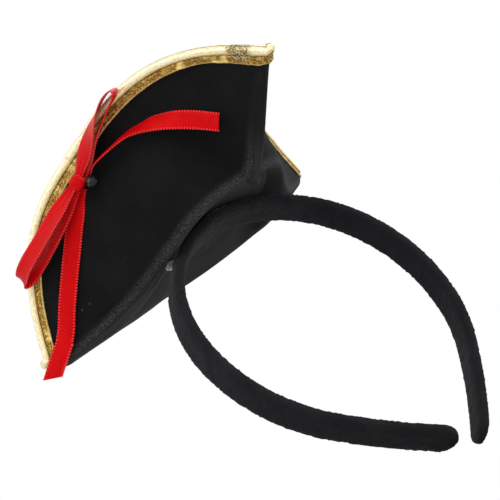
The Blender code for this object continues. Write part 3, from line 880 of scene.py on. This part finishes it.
def goldProfile():         # (up from the brim's edge, off its outer face), in millimetres
    back, leg, innerLeg = -brimStack / mm, goldEdge["leg"], goldEdge["innerLeg"]
    outer = [(up - leg, off) for up, off in goldEdge["hem"]] + list(goldEdge["face"])
    high, wide = goldEdge["roll"]
    for t in np.linspace(0.12, math.pi - 0.12, goldEdge["rollPoints"]):
        outer.append((high * math.sin(t), back / 2 + (wide - back / 2) * math.cos(t)))
    outer += [(-0.6, back - 0.75), (-1.2, back - 0.55)]
    outer += [(up, back - 0.50) for up in np.linspace(-1.8, 0.6 - innerLeg, 4)]
    outer += [(-innerLeg - 0.1, back - 0.62), (-innerLeg - 0.2, back - 0.15)]
    inner = [(-innerLeg, back - 0.06), (-0.3, back - 0.10), (0.15, back + 0.1),
             (0.15, -0.1), (-0.3, 0.06)]
    return outer, inner


def addGoldEdge(grid, material):
    outer, inner = goldProfile()
    profile = outer + inner
    count, rings, turn = grid.shape[1], len(profile), goldEdge["turn"]
    edge = grid[-1]
    up = unitRows(grid[-1] - grid[-4])
    up = unitRows(sum(np.roll(up, step, axis=0) for step in range(-turn, turn + 1)))
    along = unitRows(np.roll(edge, -1, axis=0) - np.roll(edge, 1, axis=0))
    off = unitRows(np.cross(along, up))
    middle = edge.mean(axis=0)
    if np.einsum("ij,ij->i", off[:, :2], (edge - middle)[:, :2]).mean() < 0:
        off = -off
    across, lengths = lengthsAlong(np.array(profile)), lengthsAlong(edge) / mm
    foldRow = hat["rows"][0] + hat["rows"][1] // 2
    room = 0.95 * np.linalg.norm(edge - grid[foldRow], axis=1) / mm
    wider = [1 + goldEdge["wideTip"] * easeBetween(-p[1], 82 * mm, 96 * mm) for p in edge]
    legShare = np.minimum(wider, room / (goldEdge["leg"] + 0.1))
    flapStart = goldEdge["lapFlap"] * (hat["columns"] + hat["noseColumns"])
    lap = flapStart + round((1 - goldEdge["lapAlong"]) / 2 * (hat["columns"] - 1))
    onFace, onRoll, crinkle = goldEdge["crinkle"]
    stations = count * goldEdge["fine"]
    points, runs = [], []
    for k in range(stations):
        i, t = k // goldEdge["fine"], (k % goldEdge["fine"]) / goldEdge["fine"]
        j = (i + 1) % count
        place = edge[i] * (1 - t) + edge[j] * t
        upHere, offHere = unit(up[i] * (1 - t) + up[j] * t), unit(off[i] * (1 - t) + off[j] * t)
        run = lengths[i] + t * np.linalg.norm(edge[j] - edge[i]) / mm
        legHere = legShare[i] * (1 - t) + legShare[j] * t
        onLap = goldEdge["lapHeight"] if lap <= i + t < lap + goldEdge["lapColumns"] else 0.0
        for m, (u, v) in enumerate(profile):
            u *= legHere if u < 0 else 1.0
            spot = place + upHere * u * mm + offHere * v * mm
            push = 0.0
            if 1 <= m < len(outer) - 1:
                rough = bumpAt(spot, 420.0, 4.0) + 0.6 * bumpAt(spot, 1100.0, 8.0)
                calm = onRoll if across[m] > goldEdge["rollStart"] else onFace
                push = crinkle * calm * rough + onLap
            fromMiddle = v + brimStack / mm / 2
            away = offHere * math.copysign(1.0, fromMiddle)
            if -0.4 < u < 2.2:
                away = unit(offHere * fromMiddle + upHere * (u + 0.2))
            spread = onLap * 1.6 if m < 3 else 0.0
            points.append(spot + away * push * mm - upHere * spread * mm)
            runs.append((run, across[m]))
    faces = ringFaces(stations, rings, True)
    obj = newPiece("goldBinding", points, faces, material, ("gold_binding",), runs)
    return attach(obj, "root")


# crown and underside

crownShape = {
    "height": 34 * mm * 0.97,
    "wall": 1 * mm,
    "baseThickness": 0.8 * mm,
    "seamGap": 0.15 * mm,
    "clearance": 0.3 * mm,
    "sides": 96,
    "rows": 40,
    "roundness": (0.5, 1.15),        # of the side, of the rise
    "tuck": inMm(0.25, 2, 0.7),       # sewn in round the foot: depth, height, reach
    "baseRings": (0.02, 0.15, 0.3, 0.45, 0.6, 0.75, 0.88, 0.96, 1.0),
}


def hatRing(radius, height, sides, ripple):
    ring = []
    for i in range(sides):
        angle = math.tau * i / sides
        place = Vector((math.cos(angle) * 3, math.sin(angle) * 3, height * 60))
        r = radius * (1 + ripple * noise.noise(place))
        ring.append(hatToWorld((r * math.cos(angle), r * math.sin(angle), height)))
    return ring


def addCrown(material):
    radius, wall = hat["seamRadius"] - crownShape["seamGap"], crownShape["wall"]
    bottom = underside(radius - wall) + crownShape["baseThickness"] + crownShape["clearance"]
    height, last, sides = crownShape["height"], crownShape["rows"] - 1, crownShape["sides"]
    sidePower, risePower = crownShape["roundness"]
    tuckDepth, tuckHeight, tuckReach = crownShape["tuck"]
    outer = []
    for k in range(crownShape["rows"]):
        turn = k / last * math.pi / 2
        lean = math.cos(turn) ** sidePower if k < last else 0.0
        rise = math.sin(turn) ** risePower
        tuck = tuckDepth * math.exp(-((rise * height - tuckHeight) / tuckReach) ** 2)
        outer.append((max(0.3 * mm, radius * lean - tuck), bottom + height * rise))
    inner = [(max(0.2 * mm, r - wall), z - (wall if k else 0)) for k, (r, z) in enumerate(outer)]
    points = []
    for r, z in list(reversed(outer)) + inner:
        points += hatRing(r, z, sides, 0.012)
    rows = 2 * len(outer)
    faces = ringFaces(rows, sides) + endCaps(rows, sides)
    obj = newPiece("crownDome", points, faces, material, ("crown_velvet",))
    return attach(obj, "root")


def addBaseFelt(material):
    radius, sides = hat["seamRadius"] - crownShape["seamGap"], crownShape["sides"]
    points = []
    shares = crownShape["baseRings"]
    for share, top in [(s, 1) for s in shares] + [(s, 0) for s in reversed(shares)]:
        height = underside(radius * share) + top * crownShape["baseThickness"]
        points += hatRing(radius * share, height, sides, 0.01)
    rows = 2 * len(shares)
    faces = ringFaces(rows, sides) + endCaps(rows, sides)
    obj = newPiece("baseDisc", points, faces, material, ("base_felt",), sharp=60)
    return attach(obj, "root")


glue = {
    "middle": 3 * mm,
    "halfLength": 9.4 * mm,
    "halfWidth": 3.4 * mm,
    "lump": 0.20,
    "pressedIn": 0.1 * mm,                # into the felt and the band
    "drop": inMm(-27.5, 3),       # a lump of it shows where the right arm leaves the felt
    "dropLift": 0.7 * mm,
    "dropSize": inMm(3.2, 2.6, 1.1),
    "dropLump": 0.5,
    "rings": (15, 40),
}


def bandTop(x):
    radius, half = band["arcs"][0][1], band["thickness"] / 2
    return math.sqrt((radius + half) ** 2 - x * x) - radius + half


def gluePiece(name, spotAt, material, nodes=()):
    rings, around = glue["rings"]
    points = []
    for row in range(rings):
        polar = math.pi * (row + 0.5) / rings
        points += [spotAt(polar, math.tau * i / around) for i in range(around)]
    faces = ringFaces(rings, around) + endCaps(rings, around)
    return newPiece(name, points, faces, material, nodes)


def spreadSpot(polar, angle):
    place = Vector((math.cos(angle) * 1.7, math.sin(angle) * 1.7, 4.0))
    spread = math.sin(polar) ** 0.6 * (1 + glue["lump"] * noise.noise(place))
    x = glue["middle"] + glue["halfLength"] * spread * math.cos(angle)
    y = glue["halfWidth"] * spread * math.sin(angle)
    turnedY = y + hat["forward"]
    felt = underside(math.hypot(x, turnedY)) + hat["noseDown"] * turnedY + band["thickness"] / 2
    low, high = bandTop(x) + glue["pressedIn"], felt - glue["pressedIn"]
    return x, y, low + (high - low) * (0.5 + 0.5 * math.cos(polar))


def dropSpot(polar, angle):
    x, y = glue["drop"]
    flat = math.sin(polar)
    way = np.array([flat * math.cos(angle), flat * math.sin(angle), math.cos(polar)])
    lump = 1 + glue["dropLump"] * noise.noise(Vector(way) * 1.6)
    middle = np.array([x, y, bandTop(x) + glue["dropLift"]])
    return middle + way * np.array(glue["dropSize"]) * lump


def addGlue(material):
    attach(gluePiece("glueSpread", spreadSpot, material, ("glue_pad",)), "root")
    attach(gluePiece("glueDrop", dropSpot, material), "root")


# bow

ribbon = {
    "width": 7 * mm,
    "thickness": 0.4 * mm,
    "dotPitch": 1.15,         # millimetres between the raised dots of its woven edge
    "scallop": 0.12 * mm,
    "cup": 0.25 * mm,
    "pleat": 0.35 * mm,       # height of the small pleats beside the knot
    "waver": 0.10 * mm,
    "slantReach": 6 * mm,     # length over which a slanted end is cut
    "acrossPoints": 13,
    "step": 0.45 * mm,
}
bow = {        # loops and tails: millimetres along, down and off the flap, and the ribbon's roll
    "flap": 2,
    "along": -8.5 * mm,       # from the flap's middle, towards the back tip
    "belowEdge": 9 * mm,
    "knot": inMm(8.5, 7, 4.2),
    "knotShare": (0.78, 0.84, 0.95),      # the knot pulled tight inside that size
    "knotSquareness": (0.45, 0.75, 0.8),
    "knotCrease": 0.256 * mm,
    "knotRows": (28, 48),
    "pinch": (0.50, 13 * mm),           # share of the width left at the knot, the pinch's reach
    "underKnot": 1.5 * mm,
    "bead": 2.6 * mm,
    "beadPlace": inMm(4.2, -0.8, 0.3),      # along, into the knot's side, off the tail
    "beadFacets": (6, 9),
    "solidNoses": inMm(3.6, 3.6, 3.6),
    "frontLoop": [
        (2.2, -0.8, 0.9, 12), (11.5, -3.4, 2.2, 20), (20, -6, 2.8, 45), (28, -8, 3.0, 75),
        (35.5, -9, 3.0, 85), (39.6, -7.6, 3.0, 88), (38, -5.6, 3.0, 85), (30, -4.8, 2.6, 75),
        (20, -3.2, 1.4, 65), (11, -1.0, 0.0, 50), (2.2, 0.6, -0.6, 20),
    ],
    "backLoop": [
        (-2.2, -0.3, 0.7, 20), (-13, 0.2, 2.8, 28), (-26, 1.2, 4.4, 30), (-39, 2.2, 5.6, 26),
        (-45.5, 4.0, 4.2, 22), (-41, 5.6, 2.6, 26), (-28, 4.8, 1.4, 32), (-14, 2.8, 0.4, 28),
        (-2.2, 1.0, -0.4, 16),
    ],
    "frontTail": [
        (1, 0.5, 1.4, 10), (6, 0.8, 2.0, 50), (11, 1.0, 3.0, 76), (19, 2.4, 4.0, 80),
        (26.5, 3.6, 4.1, 74), (32, 5.5, 3.8, 64), (38.8, 9.5, 3.6, 38), (46, 16, 3.0, 14),
        (53.3, 23.3, 3.6, 0),
    ],
    "backTail": [
        (-2, 2.4, 1.0, 0), (-8, 4.0, 1.0, 0), (-15, 5.9, 1.0, 0), (-26.5, 8.7, 1.0, 0),
        (-39, 8.8, 1.1, 0), (-51.3, 5.9, 1.6, 0), (-58.3, 2.0, 2.0, 0),
    ],
    "freeEnd": (        # past the hat's back tip that tail hangs free
        inMm(-3.2, 3.4, -1.8), inMm(-6.2, 6.8, -3.5), inMm(-9, 10.2, -5.2),
    ),
    "endSlant": {"frontTail": 0.0, "backTail": 0.55},
}


def flapPlace(flap, along, below, lift):
    tip = tipBeyond(flap, along)
    outAxis, alongAxis = flapAxes(flap)
    half = flapEnd(hat["highRadius"][tip], bow["solidNoses"][tip], 0.0)[1]
    share = max(-1, min(1, along / half))
    low = edgePoint(flap, share, True, 0.0, bow["solidNoses"])
    high = edgePoint(flap, share, False, 0.0, bow["solidNoses"])
    fall = unit(low - high)
    off = unit(np.cross(np.array([*alongAxis, 0.0]), fall))
    if np.dot(off[:2], outAxis) < 0:
        off = -off
    pastTip = np.array([*(alongAxis * (along - share * half)), 0.0])
    return hatToWorld(high + pastTip + fall * below + off * lift, False)


def bowAxes():
    lift = bow["underKnot"] + bow["knot"][2] / 2
    centre = flapPlace(bow["flap"], bow["along"], bow["belowEdge"], lift)
    along = unit(flapPlace(bow["flap"], bow["along"] + mm, bow["belowEdge"], lift) - centre)
    off = unit(flapPlace(bow["flap"], bow["along"], bow["belowEdge"], lift + mm) - centre)
    down = unit(np.cross(off, along))
    if down[2] > 0:
        down = -down
    return centre, along, down, off


def evenPath(path, widths, step):        # the same path with its points a step apart
    path, widths = np.array(path), np.array(widths)
    lengths = lengthsAlong(path)
    count = max(8, round(lengths[-1] / step))
    places = np.linspace(0, lengths[-1], count + 1)
    even = [np.interp(places, lengths, path[:, k]) for k in range(3)]
    turned = [np.interp(places, lengths, widths[:, k]) for k in range(3)]
    return np.array(even).T, np.array(turned).T, places


def addRibbon(name, path, widths, material, node, loop, slant=0.0):
    path, widths, lengths = evenPath(path, widths, ribbon["step"])
    count, last, total = ribbon["acrossPoints"], len(path) - 1, lengths[-1]
    half = ribbon["width"] / 2
    knotShare, pinchReach = bow["pinch"]
    points, runs = [], []
    for i, point in enumerate(path):
        ahead = unit(path[min(i + 1, last)] - path[max(i - 1, 0)])
        wide = unit(widths[i] - ahead * np.dot(widths[i], ahead))
        thick = unit(np.cross(ahead, wide))
        nearEnd = max(0.0, 1 - (total - lengths[i]) / ribbon["slantReach"])
        fromKnot = min(lengths[i], total - lengths[i]) if loop else lengths[i]
        narrow = knotShare + (1 - knotShare) * easeBetween(fromKnot, 0, pinchReach)
        scallop = ribbon["scallop"] * math.sin(math.tau * lengths[i] / mm / ribbon["dotPitch"])
        ring, ringRuns = [], []
        for k in range(count):
            share = -1 + 2 * k / (count - 1)
            rim = abs(share) ** 6
            a = share * (half * narrow + scallop * rim)
            pleat = ribbon["pleat"] * (1 - narrow) * math.cos(share * 2.6 * math.pi)
            waver = ribbon["waver"] * bumpAt(point + wide * a, 260.0, 3.0)
            lift = pleat + ribbon["cup"] * (share * share - 0.4) + waver
            spot = point + wide * a + thick * lift + ahead * slant * nearEnd * a
            ring.append((spot, thick * ribbon["thickness"] / 2 * (0.85 + 0.35 * rim)))
            ringRuns.append((lengths[i] / mm, share * half / mm))
        points += [s + t for s, t in ring] + [s - t for s, t in reversed(ring)]
        runs += ringRuns + list(reversed(ringRuns))
    size = 2 * count
    faces = ringFaces(len(path), size)
    end = last * size
    for k in range(count - 1):
        faces.append((k + 1, k, size - 1 - k, size - 2 - k))
        faces.append((end + k, end + k + 1, end + size - 2 - k, end + size - 1 - k))
    obj = newPiece(name, points, faces, material, (node,), runs, 50)
    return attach(obj, "root")


def turnedWidth(down, off, roll):
    return down * math.cos(math.radians(roll)) + off * math.sin(math.radians(roll))


def addKnot(centre, along, down, off, material):
    rows, around = bow["knotRows"]
    endPower, sectionPower, lengthPower = bow["knotSquareness"]
    half = [size / 2 * share for size, share in zip(bow["knot"], bow["knotShare"])]
    points, runs = [], []
    for row in range(rows):
        polar = math.pi * (row + 0.5) / rows - math.pi / 2      # runs along the ribbon's width
        reach = math.cos(polar) ** endPower
        x = squarer(math.sin(polar), lengthPower)
        for i in range(around):
            turn = math.tau * i / around
            y = squarer(math.cos(turn), sectionPower) * reach
            z = squarer(math.sin(turn), sectionPower) * reach
            crease = bow["knotCrease"] * math.sin(3.2 * math.pi * x + 0.8 * math.sin(turn)) * reach
            spot = centre + along * x * half[0] + down * y * half[1] + off * z * half[2]
            points.append(spot + (down * y + off * z) * crease)
            runs.append((turn * 3.2, x * 3.5))
    faces = ringFaces(rows, around) + endCaps(rows, around)
    obj = newPiece("bowKnot", points, faces, material, ("bow_knot",), runs)
    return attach(obj, "root")


def addBead(centre, along, down, off, material):
    size, (beadAlong, beadIn, beadOff) = bow["bead"], bow["beadPlace"]
    beside = bow["knot"][1] * bow["knotShare"][1] / 2 + size + beadIn
    aboveTail = size - bow["knot"][2] / 2 + beadOff
    place = centre + down * beside + along * beadAlong + off * aboveTail
    levels, around = bow["beadFacets"]
    points = []
    for row in range(levels):
        polar = math.pi * (0.09 + 0.82 * row / (levels - 1))
        r, height = math.sin(polar) * size, math.cos(polar) * size * 0.94
        for i in range(around):
            turn = math.tau * (i + 0.5 * (row % 2)) / around
            spot = place + along * r * math.cos(turn) + off * r * math.sin(turn)
            points.append(spot + down * height)
    faces = []
    for row in range(levels - 1):
        for i in range(around):
            a, b = row * around + i, row * around + (i + 1) % around
            c, d = a + around, b + around
            faces += [(a, b, c), (b, d, c)] if row % 2 == 0 else [(a, b, d), (a, d, c)]
    faces += endCaps(levels, around)
    obj = newPiece("cutBead", points, faces, material, ("bow_bead",), flat=True)
    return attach(obj, "root")


def addBow(satin, glass):
    centre, along, down, off = bowAxes()
    addKnot(centre, along, down, off, satin)
    for end in ("Front", "Back"):
        smooth = smoothPath(bow[end.lower() + "Loop"], 12)
        path = [centre + (along * a + down * d + off * o) * mm for a, d, o, _ in smooth]
        widths = [turnedWidth(down, off, spot[3]) for spot in smooth]
        addRibbon("bowLoop" + end, path, widths, satin, "bow_loop_" + end.lower(), True)
    for end in ("Front", "Back"):
        label = end.lower() + "Tail"
        path, rolls = [], []
        for a, d, o, roll in smoothPath(bow[label], 12):
            beside, below = bow["along"] + a * mm, bow["belowEdge"] + d * mm
            path.append(flapPlace(bow["flap"], beside, below, o * mm))
            rolls.append(roll)
        if end == "Back":
            path += [path[-1] + np.array(step) for step in bow["freeEnd"]]
            rolls += [0.0] * len(bow["freeEnd"])
        widths = []
        for i, roll in enumerate(rolls):
            ahead = unit(path[min(i + 1, len(path) - 1)] - path[max(i - 1, 0)])
            widths.append(turnedWidth(unit(np.cross(ahead, off)), off, roll))
        addRibbon("bowTail" + end, path, widths, satin, "bow_tail_" + end.lower(), False,
                  bow["endSlant"][label])
    addBead(centre, along, down, off, glass)


# make everything

bandVelvet, hatVelvet, liningVelvet, baseFelt, stiffFelt = (makeVelvet(name) for name in velvets)
goldCloth, satin = makeGoldCloth(), makeSatin()
beadGlass, clearGlue, whitePlastic = makeBeadGlass(), makeGlue(), makePlastic()
print("finishes are made")

addSleeve(-1, "Right", bandVelvet, ("band_velvet_right", "band_velvet_centre"))
addSleeve(1, "Left", bandVelvet, ("band_velvet_left",))
print("hair band is covered")

faceGrid = brimGrid()
shift = softShift(faceGrid)
for name, near, thickness, material, slot, node in (
    ("brimVelvet", 0.0, hat["velvet"], hatVelvet, "hat_velvet", "brim_outer_velvet"),
    ("brimBoard", hat["velvet"] + hat["gap"], hat["board"], stiffFelt, "stiff_felt",
     "brim_stiffener"),
    ("brimLining", brimStack - hat["velvet"], hat["velvet"], liningVelvet, "hat_velvet",
     "brim_lining"),
):
    faces = (brimGrid(depth) + shift for depth in (near, near + thickness))
    addBrimLayer(name, *faces, material, slot, node)
addGoldEdge(faceGrid + shift, goldCloth)
print("brim is folded and bound")

addCrown(liningVelvet)
addBaseFelt(baseFelt)
addGlue(clearGlue)
addBow(satin, beadGlass)
print("crown, glue and bow are on")

nodeFinishes = {"band_core_" + place: whitePlastic for place in ("centre", "left", "right")}
nodeFinishes["crown_former"] = stiffFelt
for name, finish in nodeFinishes.items():
    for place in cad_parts[name].material_slots:
        place.material = finish

bpy.context.view_layer.update()
